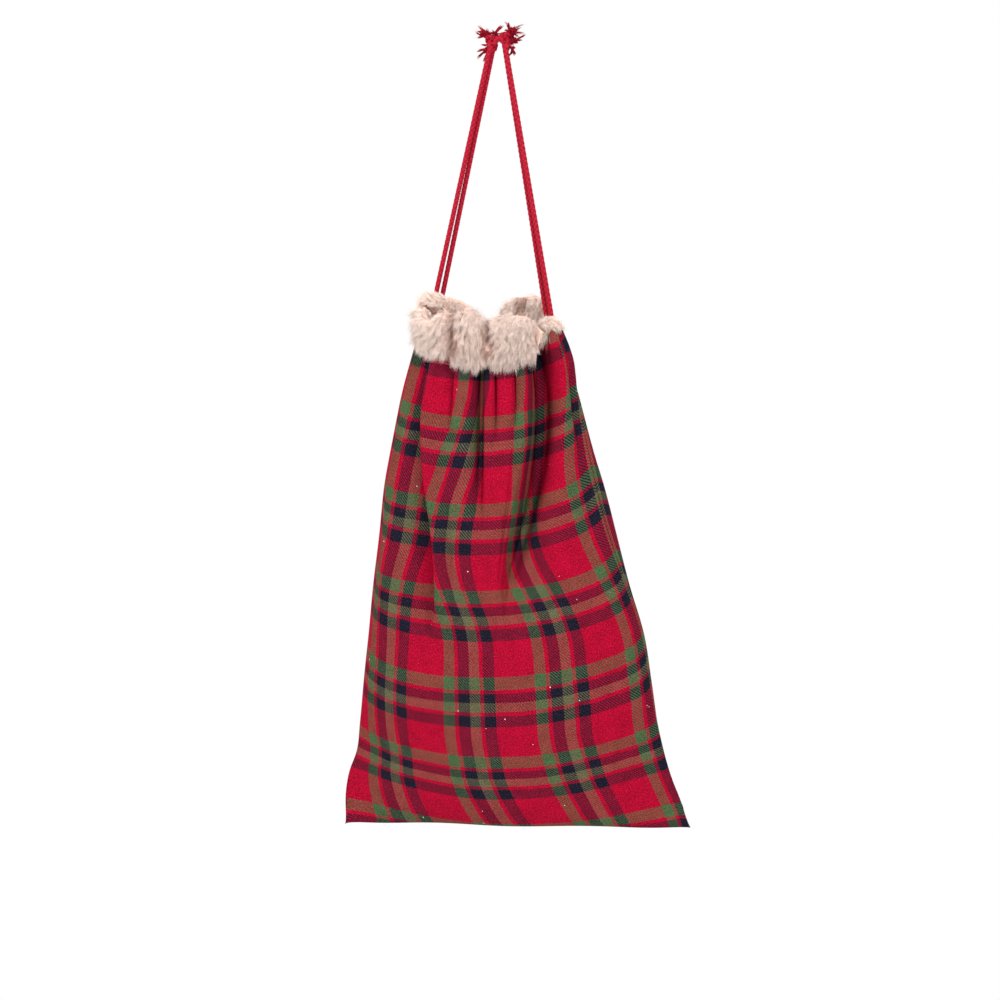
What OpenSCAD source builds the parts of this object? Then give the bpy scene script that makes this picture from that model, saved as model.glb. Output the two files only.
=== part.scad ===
// Drawstring gift sack: a tartan body, a folded fur collar and two drawcords, shown hanging by its knots.
// The origin is the hanging point just under the knots. +X is the sack's right, +Y its back and +Z up.

/* [Tartan body] */
// Width along the bottom seam
sack_w = 410; // [390:1:430]
// Drop from the hanging point to the bottom seam
sack_drop = 904; // [890:1:920]
// Depth of the belly from front to back, inside the cloth
belly_d = 114; // [90:1:140]
// Thickness of the brushed cloth
cloth_t = 1.6; // [1.2:0.1:2.4]
// Width of the seam allowance turned inside
seam_in = 8; // [6:1:12]
// Thickness of the closed seam allowance
seam_t = 1; // [0.6:0.1:1.4]

/* [Neck] */
// Drop from the hanging point to the neck at the left seam
neck_drop = 344; // [340:1:348]
// How much higher the neck is at the right seam
neck_rise = 8; // [0:1:10]
// How much lower the neck hangs at the middle of the front
front_sag = 34; // [20:1:36]
// How much lower the neck hangs at the middle of the back
back_sag = 10; // [4:1:16]

/* [Fur collar] */
// Half width of the collar from side to side, at the middle of its wall
collar_a = 76; // [72:1:80]
// Half depth of each collar half beyond the side slits
collar_b = 34; // [28:1:38]
// Sideways place of the middle of the mouth
collar_x = -12; // [-16:1:-8]
// Thickness of the folded collar with the cord tunnel inside
collar_t = 14.4; // [13.6:0.2:16]
// Drop from the hanging point to the collar's upper edge
collar_top = 286; // [280:1:292]
// Width of the slits where the cords leave the collar
slit_w = 15; // [14:0.5:17]

/* [Drawcords] */
// Diameter of the twisted cord
cord_d = 5.5; // [4.5:0.1:6]
// Drop from the hanging point to the cord exits
exit_drop = 312; // [308:1:313]
// Sideways size of an overhand knot
knot_w = 14; // [12:0.5:14.5]
// Height of an overhand knot
knot_h = 16; // [13:0.5:18]
// Length of a frayed cord end
fray_l = 11; // [8:0.5:13]

/* [Hidden] */
// Outer edge of each side, as a share of the bottom width, by the share of the height from neck to hem
left_out = [[-0.02, -0.234], [0, -0.244], [0.1, -0.283], [0.2, -0.312], [0.3, -0.337], [0.5, -0.365],
    [0.7, -0.39], [0.8, -0.405], [0.9, -0.432], [0.96, -0.444], [1, -0.445]];
right_out = [[-0.02, 0.178], [0, 0.188], [0.1, 0.232], [0.2, 0.273], [0.3, 0.315], [0.4, 0.345],
    [0.5, 0.378], [0.6, 0.421], [0.7, 0.441], [0.8, 0.467], [0.9, 0.502], [0.96, 0.539], [1, 0.555]];
// Half depth of the sack as a share of the belly's depth, by the same heights
depth_out = [[-0.02, 0.35], [0, 0.36], [0.1, 0.4], [0.2, 0.44], [0.3, 0.47], [0.5, 0.5], [0.6, 0.49],
    [0.7, 0.48], [0.8, 0.46], [0.9, 0.4], [0.96, 0.32], [0.985, 0.22], [0.996, 0.1], [1, 0]];
// Heights of the panel's rows of points, from neck to hem
rows = [0, 0.06, 0.13, 0.22, 0.32, 0.43, 0.54, 0.65, 0.75, 0.84, 0.91, 0.96, 0.985, 0.996, 1];
// Degrees between two columns of points round a panel, and round a collar half
panel_step = 9;
collar_step = 12;
front = -1;
back = 1;
// Share of the cloth's thickness that lies upright, from 0 on the walls to 1 on the underside
upright = [[0, 0], [0.94, 0], [1, 1]];
// Height of the bottom seam's allowance, which stands up between the panels
hem_h = 8;
// Clearance between parts that move apart
gap = 1.5;
tab_gap = 0.7;
// Height of the closing stitches and width of the tunnel between the collar's two layers
stitch_h = 2;
tunnel_w = cord_d + 0.9;
// Heights of the two cords above the neck line inside the tunnel
left_level = 14;
right_level = 7.5;
// Extra sag of the collar's upper edge at the middle of the front
front_top_sag = 10;
// Room between an exit and the top of the fur tab below it
exit_room = 6;
cord_sides = 8;
cord_rings = 18;
// Side offset of the two strands of a cord from the sack's middle plane
strand_y = 3.2;
// Foot and head of each strand: the cord's route from its exit to its knot
left_front_foot = [-80, -strand_y, -exit_drop];
left_front_head = [-8.5, -3, -2];
left_back_foot = [-73, strand_y, -exit_drop];
left_back_head = [-6, 3, -2];
right_front_foot = [62, -strand_y, -exit_drop];
right_front_head = [8.5, -3, -1];
right_back_foot = [56.5, strand_y, -exit_drop];
right_back_head = [6.5, 3, -1];
left_knot_at = [-6.5, 0, 7.5];
right_knot_at = [9.5, 0, 8.5];
$fn = 24;

// A closed solid through rings of points; each flat end is a strip of quads between the ring's two halves.
// The faces are turned round for the back of the sack, where the rings run the other way.
module ring_loft(rings, side = front) {
    n = len(rings[0]);
    m = len(rings);
    walls = [for (i = [0:m - 2]) for (j = [0:n - 1])
        each [[i * n + j, (i + 1) * n + j, (i + 1) * n + (j + 1) % n],
            [i * n + j, (i + 1) * n + (j + 1) % n, i * n + (j + 1) % n]]];
    end = [for (j = [0:n / 2 - 2]) [j, j + 1, n - 2 - j, n - 1 - j]];
    far_end = [for (f = end) [for (k = [3:-1:0]) (m - 1) * n + f[k]]];
    faces = concat(walls, end, far_end);
    turned = [for (f = faces) [for (k = [len(f) - 1:-1:0]) f[k]]];
    polyhedron([for (r = rings) each r], side == front ? turned : faces, convexity = 6);
}

// Outline of the sack at height z
function share(z) = (-neck_drop - z) / (sack_drop - neck_drop);
function left_x(z) = sack_w * lookup(share(z), left_out);
function right_x(z) = sack_w * lookup(share(z), right_out);
function half_d(z) = belly_d * lookup(share(z), depth_out);
// Height of the neck line, turn running from 0 at the left seam to 180 at the right
function sag(side) = side == front ? front_sag : back_sag;
function neck_z(turn, side) = -neck_drop + neck_rise * turn / 180 - sag(side) * sin(turn);
// A point of the panel, on its outer face where inset is 0 and its inner face where inset is cloth_t
function wall_at(turn, v, side, inset) = let (
    z = neck_z(turn, side) * (1 - v) - sack_drop * v,
    up = lookup(v, upright),
    half = (right_x(z) - left_x(z)) / 2 - inset)
    [(left_x(z) + right_x(z)) / 2 - half * cos(turn),
        side * (seam_t / 2 + (half_d(z) + (cloth_t - inset) * (1 - up)) * sin(turn)), z + inset * up];

module panel(side) {
    last = len(rows) - 1;
    ring_loft([for (turn = [0:panel_step:180]) concat(
        [for (i = [0:last]) wall_at(turn, rows[i], side, 0)],
        [for (i = [last:-1:0]) wall_at(turn, rows[i], side, cloth_t)])], side);
}

// The middle of the collar's wall, and the way out from it
function collar_mid(turn, side) =
    [collar_x - collar_a * cos(turn), side * (slit_w / 2 + collar_b * sin(turn)), 0];
function collar_way(turn, side) = let (n = [-collar_b * cos(turn), side * collar_a * sin(turn), 0]) n / norm(n);
function top_z(turn, side) = -collar_top - (side == front ? front_top_sag * sin(turn) : 0);
function on_collar(turn, side, out, z) =
    collar_mid(turn, side) + out * collar_way(turn, side) + [0, 0, z];

module around_collar(side, profile_of) {
    ring_loft([for (turn = [0:collar_step:180]) [for (p = profile_of(turn)) on_collar(turn, side, p[0], p[1])]],
        side);
}

// One half of the collar: a folded band, open along its lower edge where the stitches close it
module fur_collar(side) {
    half = collar_t / 2;
    tunnel = tunnel_w / 2;
    fold = 3;
    around_collar(side, function (turn) let (
        low = neck_z(turn, side) + gap,
        high = top_z(turn, side))
        [[half, low], [half, high - fold], [half - fold, high], [fold - half, high], [-half, high - fold],
            [-half, low], [-tunnel, low], [-tunnel, high - 2.5 * fold], [-tunnel / 2, high - 2 * fold],
            [tunnel / 2, high - 2 * fold], [tunnel, high - 2.5 * fold], [tunnel, low]]);
}

module neck_stitching(side) {
    tunnel = tunnel_w / 2;
    around_collar(side, function (turn) let (low = neck_z(turn, side) + gap)
        [[tunnel, low], [tunnel, low + stitch_h], [-tunnel, low + stitch_h], [-tunnel, low]]);
}

function ring_at(a, r) = [r * cos(a), r * sin(a)];

// The stretch of a cord inside the collar's tunnel
module cord_run(side, level) {
    around_collar(side, function (turn) [for (k = [0:cord_sides - 1])
        ring_at(-360 * k / cord_sides, cord_d / 2) + [0, neck_z(turn, side) + level]]);
}

// The short stretch of a cord that crosses the slit at the far side, from the front tunnel to the back one
module cord_turn(turn, level) {
    at = collar_mid(turn, front);
    translate([at[0], 0, neck_z(turn, front) + level])
        rotate([90, 0, 0])
            cylinder(d = cord_d, h = slit_w - 2 * tab_gap, center = true);
}

// A free strand from its foot in the slit to its head under the knot
module strand(foot, head) {
    ring_loft([for (i = [0:cord_rings - 1]) let (at = foot + (head - foot) * i / (cord_rings - 1))
        [for (k = [0:cord_sides - 1])
            let (p = ring_at(360 * k / cord_sides, cord_d / 2)) at + [p[0], p[1], 0]]]);
}

// A strip of seam allowance inside a side seam, running inwards from the edge
module side_seam(turn) {
    inward = turn == 0 ? seam_in : -seam_in;
    ring_loft([for (v = rows) let (
        top = neck_z(turn, front),
        z = top + v * (hem_h - sack_drop - top),
        x = turn == 0 ? left_x(z) : right_x(z),
        y = seam_t / 2)
        [[x, -y, z], [x + inward, -y, z], [x + inward, y, z], [x, y, z]]],
        turn == 0 ? front : back);
}

// The fur that closes the slit below a cord exit
module fur_tab(turn) {
    low = neck_z(turn, front);
    at = collar_mid(turn, front);
    round_r = 3;
    translate([at[0], 0, low])
        linear_extrude(height = -exit_drop - exit_room - low)
            offset(r = round_r)
                square([collar_t - 2 * round_r, slit_w - 2 * tab_gap - 2 * round_r], center = true);
}

// A pulled-tight overhand knot
module knot(at) {
    lobe = knot_w * 0.36;
    translate(at)
        hull()
            for (a = [0:120:240])
                rotate([0, a + 90, 0])
                    translate([knot_h / 2 - lobe, 0, 0])
                        scale([1, 1.25, 1])
                            sphere(r = lobe, $fn = 16);
}

// A frayed cord end that spreads away from the knot, from its root along a slope
module frayed_end(root, slope) {
    translate(root)
        rotate([0, slope, 0])
            cylinder(d1 = cord_d * 0.8, d2 = cord_d * 1.3, h = fray_l);
}

module front_panel() { color([0.72, 0.08, 0.16]) panel(front); }
module back_panel() { color([0.6, 0.08, 0.15]) panel(back); }
module left_side_seam() { color([0.3, 0.1, 0.15]) side_seam(0); }
module right_side_seam() { color([0.3, 0.1, 0.15]) side_seam(180); }
module bottom_seam() {
    color([0.3, 0.1, 0.15])
        translate([left_x(-sack_drop), -seam_t / 2, -sack_drop])
            cube([sack_w, seam_t, hem_h]);
}
module left_fur_tab() { color([0.88, 0.8, 0.75]) fur_tab(0); }
module right_fur_tab() { color([0.88, 0.8, 0.75]) fur_tab(180); }
module left_cord_turn() { color([0.75, 0.1, 0.18]) cord_turn(180, left_level); }
module right_cord_turn() { color([0.75, 0.1, 0.18]) cord_turn(0, right_level); }
module front_fur_collar() { color([0.9, 0.83, 0.78]) fur_collar(front); }
module front_neck_stitching() { color([0.8, 0.7, 0.65]) neck_stitching(front); }
module left_cord_front_run() { color([0.75, 0.1, 0.18]) cord_run(front, left_level); }
module right_cord_front_run() { color([0.75, 0.1, 0.18]) cord_run(front, right_level); }
module back_fur_collar() { color([0.86, 0.79, 0.74]) fur_collar(back); }
module back_neck_stitching() { color([0.8, 0.7, 0.65]) neck_stitching(back); }
module left_cord_back_run() { color([0.75, 0.1, 0.18]) cord_run(back, left_level); }
module right_cord_back_run() { color([0.75, 0.1, 0.18]) cord_run(back, right_level); }
module left_cord_front_strand() { color([0.8, 0.1, 0.2]) strand(left_front_foot, left_front_head); }
module left_cord_back_strand() { color([0.8, 0.1, 0.2]) strand(left_back_foot, left_back_head); }
module left_knot() { color([0.7, 0.08, 0.17]) knot(left_knot_at); }
module left_frayed_ends() {
    color([0.85, 0.15, 0.25]) {
        frayed_end(left_knot_at + [-3, 0, 4], -40);
        frayed_end(left_knot_at + [-5, 0, -2], -135);
    }
}
module right_cord_front_strand() { color([0.8, 0.1, 0.2]) strand(right_front_foot, right_front_head); }
module right_cord_back_strand() { color([0.8, 0.1, 0.2]) strand(right_back_foot, right_back_head); }
module right_knot() { color([0.7, 0.08, 0.17]) knot(right_knot_at); }
module right_frayed_ends() {
    color([0.85, 0.15, 0.25]) {
        frayed_end(right_knot_at + [3, 0, 4], 40);
        frayed_end(right_knot_at + [4, 0, 0], 100);
    }
}

front_panel();
back_panel();
left_side_seam();
right_side_seam();
bottom_seam();
left_fur_tab();
right_fur_tab();
left_cord_turn();
right_cord_turn();
front_fur_collar();
front_neck_stitching();
left_cord_front_run();
right_cord_front_run();
back_fur_collar();
back_neck_stitching();
left_cord_back_run();
right_cord_back_run();
left_cord_front_strand();
left_cord_back_strand();
left_knot();
left_frayed_ends();
right_cord_front_strand();
right_cord_back_strand();
right_knot();
right_frayed_ends();
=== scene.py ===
"""A fabric gift sack: gathered tartan cloth, a folded fur collar and two knotted drawcords."""
import math

import bpy
import numpy as np
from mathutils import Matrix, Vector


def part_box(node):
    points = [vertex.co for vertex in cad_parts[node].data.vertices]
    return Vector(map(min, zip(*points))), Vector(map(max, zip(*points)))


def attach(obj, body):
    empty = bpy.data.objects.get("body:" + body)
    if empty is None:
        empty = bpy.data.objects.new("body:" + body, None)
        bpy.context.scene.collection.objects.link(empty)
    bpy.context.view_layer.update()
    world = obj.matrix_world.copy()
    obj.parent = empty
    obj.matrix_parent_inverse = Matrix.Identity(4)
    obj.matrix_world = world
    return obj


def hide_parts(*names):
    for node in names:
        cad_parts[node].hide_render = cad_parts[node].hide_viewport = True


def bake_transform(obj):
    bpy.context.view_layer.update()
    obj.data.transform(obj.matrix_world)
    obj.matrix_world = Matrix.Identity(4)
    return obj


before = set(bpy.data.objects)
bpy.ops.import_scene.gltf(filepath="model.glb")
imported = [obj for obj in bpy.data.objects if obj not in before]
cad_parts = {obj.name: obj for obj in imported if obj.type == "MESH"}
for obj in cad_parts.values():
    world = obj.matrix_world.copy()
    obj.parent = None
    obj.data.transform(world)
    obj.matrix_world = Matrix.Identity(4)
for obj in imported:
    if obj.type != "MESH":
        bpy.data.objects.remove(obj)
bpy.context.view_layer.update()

MM = 0.001
FRONT, BACK = -1, 1
rng = np.random.default_rng(7)


# ---------------------------------------------------------------- the frame's sizes

panel_low, panel_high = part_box("front_panel")
collar_low, collar_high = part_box("front_fur_collar")
SACK_W = panel_high.x - panel_low.x
HEM_Z = panel_low.z
NECK_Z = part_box("left_side_seam")[1].z
NECK_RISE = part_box("right_side_seam")[1].z - NECK_Z
BELLY_D = 114 * MM
# How far the middle of the neck line hangs below the line between its ends
FRONT_SAG, BACK_SAG = 34 * MM, 10 * MM
# From the collar's outside to the middle line of its band
COLLAR_INSET = 7.2 * MM
COLLAR_X = (collar_low.x + collar_high.x) / 2
COLLAR_A = (collar_high.x - collar_low.x) / 2 - COLLAR_INSET
SLIT = -collar_high.y
COLLAR_B = -collar_low.y - SLIT - COLLAR_INSET
EXIT_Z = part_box("left_cord_front_strand")[0].z

CLOTH_W = SACK_W
CLOTH_L = 592 * MM
CLOTH_T = 1.3 * MM
CORD_D = 5.5 * MM

# Outline of the sack by the share of its height, from the neck to the hem, as shares of its width and depth
LEFT_EDGE = [(-0.04, -0.228), (0, -0.244), (0.1, -0.283), (0.2, -0.312), (0.3, -0.337), (0.4, -0.352),
             (0.5, -0.369), (0.6, -0.383), (0.7, -0.398), (0.8, -0.411), (0.86, -0.422), (0.9, -0.444),
             (0.94, -0.455), (1, -0.456)]
RIGHT_EDGE = [(-0.04, 0.165), (0, 0.188), (0.1, 0.23), (0.2, 0.267), (0.3, 0.307), (0.4, 0.342),
              (0.5, 0.378), (0.6, 0.418), (0.7, 0.441), (0.8, 0.465), (0.9, 0.502), (0.96, 0.535),
              (1, 0.555)]
DEPTH = [(-0.04, 0.34), (0, 0.36), (0.1, 0.4), (0.2, 0.44), (0.3, 0.47), (0.5, 0.5), (0.7, 0.485),
         (0.8, 0.47), (0.9, 0.45), (1, 0.44)]


# ---------------------------------------------------------------- curves and meshes

def smooth_table(x, table):
    """A smooth curve through a table's points: cubic Hermite pieces whose slopes are the table's own
    differences."""
    xs, ys = np.array(table, float).T
    slopes = np.gradient(ys, xs)
    x = np.clip(x, xs[0], xs[-1])
    i = np.clip(np.searchsorted(xs, x) - 1, 0, len(xs) - 2)
    h = xs[i + 1] - xs[i]
    t = (x - xs[i]) / h
    return ((2 * t**3 - 3 * t**2 + 1) * ys[i] + (t**3 - 2 * t**2 + t) * h * slopes[i]
            + (3 * t**2 - 2 * t**3) * ys[i + 1] + (t**3 - t**2) * h * slopes[i + 1])


def step(x, low, high):
    """0 below low, 1 above high and a smooth S between."""
    t = np.clip((x - low) / (high - low), 0, 1)
    return t * t * (3 - 2 * t)


def unit(v):
    """Vectors scaled to a length of 1."""
    return v / np.maximum(np.linalg.norm(v, axis=-1, keepdims=True), 1e-12)


def signed_power(q, power):
    """A power that keeps the sign. Below 1 it squares a sine or cosine off, and above 1 it pinches it."""
    return np.sign(q) * np.abs(q) ** power


def mesh_object(name, points, faces, uv=None, **attributes):
    """A mesh object from whole arrays: points, faces of one corner count, a UV per point and named values
    per point."""
    points = np.asarray(points, np.float32).reshape(-1, 3)
    faces = np.asarray(faces, np.int32)
    corners = faces.shape[1]
    mesh = bpy.data.meshes.new(name)
    mesh.vertices.add(len(points))
    mesh.vertices.foreach_set("co", points.ravel())
    mesh.loops.add(faces.size)
    mesh.loops.foreach_set("vertex_index", faces.ravel())
    mesh.polygons.add(len(faces))
    mesh.polygons.foreach_set("loop_start", np.arange(len(faces), dtype=np.int32) * corners)
    if uv is not None:
        layer = mesh.uv_layers.new(name="UVMap")
        layer.data.foreach_set("uv", np.asarray(uv, np.float32).reshape(-1, 2)[faces.ravel()].ravel())
    for key, values in attributes.items():
        attribute = mesh.attributes.new(key, "FLOAT", "POINT")
        attribute.data.foreach_set("value", np.asarray(values, np.float32).ravel())
    mesh.update(calc_edges=True)
    mesh.validate()
    mesh.polygons.foreach_set("use_smooth", np.ones(len(mesh.polygons), bool))
    piece = bpy.data.objects.new(name, mesh)
    bpy.context.scene.collection.objects.link(piece)
    return piece


def grid_faces(rows, columns, round_rows=False, round_columns=False):
    """The quads of a grid of points, which may close on itself either way."""
    r = np.arange(rows if round_rows else rows - 1)
    c = np.arange(columns if round_columns else columns - 1)
    r, c = (a.ravel() for a in np.meshgrid(r, c, indexing="ij"))
    r2, c2 = (r + 1) % rows, (c + 1) % columns
    return np.stack([r * columns + c, r * columns + c2, r2 * columns + c2, r2 * columns + c], 1)


def capped_tube(name, rings, uv=None, **attributes):
    """A tube through rings of points, whose two ends close on their rings' middles. Its volume is a sixth of
    the sum of a . (b x c) over its triangles abc; where that is negative the faces are turned outwards."""
    n, m = rings.shape[:2]
    quads = grid_faces(n, m, round_columns=True)
    tris = np.concatenate([quads[:, [0, 1, 2]], quads[:, [0, 2, 3]]])
    k = np.arange(m)
    near = np.stack([np.full(m, n * m), (k + 1) % m, k], 1)
    far = np.stack([np.full(m, n * m + 1), (n - 1) * m + k, (n - 1) * m + (k + 1) % m], 1)
    points = np.concatenate([rings.reshape(-1, 3), rings[:1].mean(1), rings[-1:].mean(1)])
    ends = {k: np.concatenate([v.ravel(), v[:1].mean(1), v[-1:].mean(1)]) for k, v in attributes.items()}
    if uv is not None:
        uv = np.concatenate([uv.reshape(-1, 2), uv[:1].mean(1), uv[-1:].mean(1)])
    faces = np.concatenate([tris, near, far])
    a, b, c = (points[faces[:, corner]] for corner in range(3))
    if (a * np.cross(b, c)).sum() < 0:
        faces = faces[:, ::-1]
    return mesh_object(name, points, faces, uv, **ends)


def tube_frames(path, closed=False):
    """Two directions across a path at each point. One is carried from point to point, each time with its part
    along the path taken out, and the other is square to it and to the path."""
    along = np.roll(path, -1, 0) - np.roll(path, 1, 0)
    if not closed:
        along[0], along[-1] = path[1] - path[0], path[-1] - path[-2]
    along = unit(along)
    side = np.empty_like(path)
    last = np.array([0.37, -0.91, 0.16])
    for i, a in enumerate(along):
        last = last - a * (last @ a)
        last = last / np.linalg.norm(last)
        side[i] = last
    return side, np.cross(along, side)


# ---------------------------------------------------------------- materials

def linear(r, g, b):
    """A colour as seen on a screen, 0 to 255, as the light it stands for."""
    c = np.array([r, g, b]) / 255
    return tuple(np.where(c <= 0.04045, c / 12.92, ((c + 0.055) / 1.055) ** 2.4)) + (1,)


class Value:
    """A number in a material. Arithmetic on it adds Math nodes."""

    def __init__(self, finish, socket):
        self.finish, self.socket = finish, socket

    def math(self, operation, *others, clamp=False):
        n = self.finish.node("ShaderNodeMath", {"operation": operation, "use_clamp": clamp},
                             dict(enumerate((self, *others))))
        return Value(self.finish, n.outputs[0])

    def __add__(self, other):
        return self.math("ADD", other)

    def __mul__(self, other):
        return self.math("MULTIPLY", other)

    def __sub__(self, other):
        return self.math("SUBTRACT", other)

    def __rsub__(self, other):
        return (self * -1) + other

    def __truediv__(self, other):
        return self.math("DIVIDE", other)

    def __lt__(self, other):
        return self.math("LESS_THAN", other)

    __radd__, __rmul__ = __add__, __mul__


class Finish:
    """A material being built. node() adds any node: settings first, then its sockets' values or links."""

    def __init__(self, name):
        self.material = bpy.data.materials.new(name)
        self.material.use_nodes = True
        self.tree = self.material.node_tree
        self.tree.nodes.clear()

    def node(self, kind, settings=(), sockets=()):
        n = self.tree.nodes.new(kind)
        for key, value in dict(settings).items():
            if key == "stops":
                ramp = n.color_ramp
                while len(ramp.elements) < len(value):
                    ramp.elements.new(0.5)
                for element, (place, colour) in zip(ramp.elements, value):
                    element.position = place
                    element.color = colour
            elif key == "interpolation":
                n.color_ramp.interpolation = value
            else:
                setattr(n, key, value)
        for key, value in dict(sockets).items():
            if isinstance(value, Value):
                value = value.socket
            if isinstance(value, bpy.types.NodeSocket):
                self.tree.links.new(value, n.inputs[key])
            else:
                n.inputs[key].default_value = value
        return n

    def value(self, kind, settings=(), sockets=(), out=0):
        """One output of a new node, as a Value."""
        return Value(self, self.node(kind, settings, sockets).outputs[out])

    def attribute(self, name):
        """A named value of the mesh."""
        return self.value("ShaderNodeAttribute", {"attribute_name": name}, out="Fac")

    def noise(self, where, scale, detail=2.0, roughness=0.5):
        """Fractal noise, 0.5 on average."""
        return self.value("ShaderNodeTexNoise", sockets={
            "Vector": where, "Scale": scale, "Detail": detail, "Roughness": roughness})

    def ramp(self, factor, stops, interpolation="LINEAR"):
        """A colour that follows a factor through its stops."""
        return self.node("ShaderNodeValToRGB", {"stops": stops, "interpolation": interpolation},
                         {"Fac": factor}).outputs["Color"]

    def mix(self, factor, a, b, blend="MIX"):
        """Two colours mixed by a factor."""
        return self.node("ShaderNodeMix", {"data_type": "RGBA", "blend_type": blend},
                         {0: factor, 6: a, 7: b}).outputs[2]

    def bump(self, height, distance, strength=1.0):
        """A normal tilted by a height, which stands up by the distance where it is 1."""
        sockets = {"Height": height, "Distance": distance, "Strength": strength}
        return self.node("ShaderNodeBump", sockets=sockets).outputs["Normal"]

    def done(self, **sockets):
        """Finishes the material with one cloth-like shader."""
        names = {k.replace("_", " "): v for k, v in sockets.items()}
        shader = self.node("ShaderNodeBsdfPrincipled", sockets=names)
        self.node("ShaderNodeOutputMaterial", sockets={"Surface": shader.outputs[0]})
        return self.material


RED = linear(166, 4, 42)
NAVY = linear(20, 24, 38)
GREEN = linear(68, 94, 60)
OLIVE = linear(94, 92, 66)


def sett_stops(widths):
    """The colour bands of one repeat, as stops at the shares where each band begins."""
    order = [GREEN, RED, NAVY, OLIVE, RED, NAVY, RED]
    total = sum(widths)
    starts = np.concatenate([[0], np.cumsum(widths)[:-1]]) / total
    return list(zip(starts.tolist(), order)), total * MM


def tartan():
    """Brushed 2/2 twill. A thread's colour is its place in the sett, and whether warp or weft shows follows
    the diagonal of the twill."""
    f = Finish("tartan_twill")
    uv = f.node("ShaderNodeUVMap", {"uv_map": "UVMap"}).outputs[0]
    drift = f.node("ShaderNodeTexNoise", sockets={"Vector": uv, "Scale": 22.0, "Detail": 1.0})
    centred = f.node("ShaderNodeVectorMath", {"operation": "SUBTRACT"},
                     {0: drift.outputs["Color"], 1: (0.5, 0.5, 0.5)}).outputs[0]
    wander = f.node("ShaderNodeVectorMath", {"operation": "SCALE"}, {0: centred, "Scale": 0.0014}).outputs[0]
    place = f.node("ShaderNodeVectorMath", {"operation": "ADD"}, {0: uv, 1: wander}).outputs[0]
    xyz = f.node("ShaderNodeSeparateXYZ", sockets={0: place})
    across, down = Value(f, xyz.outputs[0]), Value(f, xyz.outputs[1])

    across_stops, across_repeat = sett_stops([14, 4.7, 14.6, 13.5, 4.7, 14.6, 50.4])
    down_stops, down_repeat = sett_stops([14.6, 4.7, 10.5, 10.5, 4.7, 14, 42])
    # The first navy band's middle, 26 mm into the repeat, lies 47 mm from the left seam. Down the cloth the
    # second one's, 52 mm into it, lies 7 mm below the neck line
    across_share = ((across - (47 - 26) * MM) / across_repeat).math("FRACT")
    down_share = ((down - (7 - 52) * MM) / down_repeat).math("FRACT")
    warp = f.ramp(across_share, across_stops, "CONSTANT")
    weft = f.ramp(down_share, down_stops, "CONSTANT")

    thread = 0.9 * MM
    i, j = across / thread, down / thread
    diagonal = ((i - j.math("FLOOR")) / 4).math("FRACT")
    over = diagonal < 0.5
    colour = f.mix(over, weft, warp)
    # Brushing mixes the two yarns: a seventh of the look is the geometric mean of their colours
    product = f.mix(1.0, warp, weft, "MULTIPLY")
    blended = f.node("ShaderNodeGamma", sockets={"Color": product, "Gamma": 0.5}).outputs[0]
    shaded = f.mix(1.0, colour, (0.7, 0.7, 0.7, 1), "MULTIPLY")
    colour = f.mix(0.14, shaded, blended)

    # The brushed nap: fibre ends lighten and pits darken the cloth's own colour; a few white slubs lie on it
    fibres = f.noise(uv, 560.0, 3.0, 0.8)
    coarse = f.noise(uv, 60.0, 3.0)
    grain = (fibres - 0.5) * 3.4 + (coarse - 0.5) * 0.6 + 1.0
    grey = f.node("ShaderNodeCombineXYZ", sockets={0: grain, 1: grain, 2: grain}).outputs[0]
    colour = f.mix(1.0, colour, grey, "MULTIPLY")
    colour = f.mix((fibres - 0.56).math("MULTIPLY", 0.9, clamp=True), colour, linear(190, 90, 110))
    cell = f.node("ShaderNodeTexVoronoi", sockets={"Vector": uv, "Scale": 42.0})
    slub = Value(f, cell.outputs["Distance"]) < 0.03
    colour = f.mix(slub * 0.85, colour, linear(240, 226, 222))

    ridge = (diagonal * (2 * math.pi)).math("SINE") * 0.5 + 0.5
    surface = f.bump(ridge * 0.5 + fibres * 1.2, 0.5 * MM, 0.8)
    return f.done(Base_Color=colour, Roughness=0.95, Normal=surface, Specular_IOR_Level=0.06)


def fur_strands():
    """Pile fibres: deeper and redder at the root, where shade is painted, paler at the tip, with every lock a
    little different.
    """
    f = Finish("fur_pile")
    tip, tone = f.attribute("tip"), f.attribute("tone")
    middle, pale = linear(240, 217, 205), linear(246, 228, 217)
    # Painted shade: each fibre darkens from its pale tip down to its root, deep in the pile
    shade = f.ramp(tip, [(0.0, linear(196, 152, 132)), (0.35, middle), (1.0, pale)])
    # Low tone is random per lock and fibre, and in the folds' valleys it is painted shade
    tone_and_shade = f.ramp(tone, [(0.0, linear(170, 116, 94)), (0.3, middle), (1.0, pale)])
    colour = f.mix(0.62, shade, tone_and_shade)
    return f.done(Base_Color=colour, Roughness=0.7, Sheen_Weight=0.3, Sheen_Roughness=0.4,
                  Sheen_Tint=(1.0, 0.96, 0.93, 1), Specular_IOR_Level=0.3)


def fur_backing(name="fur_backing", low=linear(206, 168, 150), high=linear(240, 214, 200)):
    """The knitted ground under the pile, with short undercoat noise."""
    f = Finish(name)
    where = f.node("ShaderNodeTexCoord").outputs["Object"]
    tufts = f.noise(where, 420.0, 4.0, 0.7)
    colour = f.ramp(tufts, [(0.3, low), (0.7, high)])
    return f.done(Base_Color=colour, Roughness=0.95, Normal=f.bump(tufts, 1.5 * MM))


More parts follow.
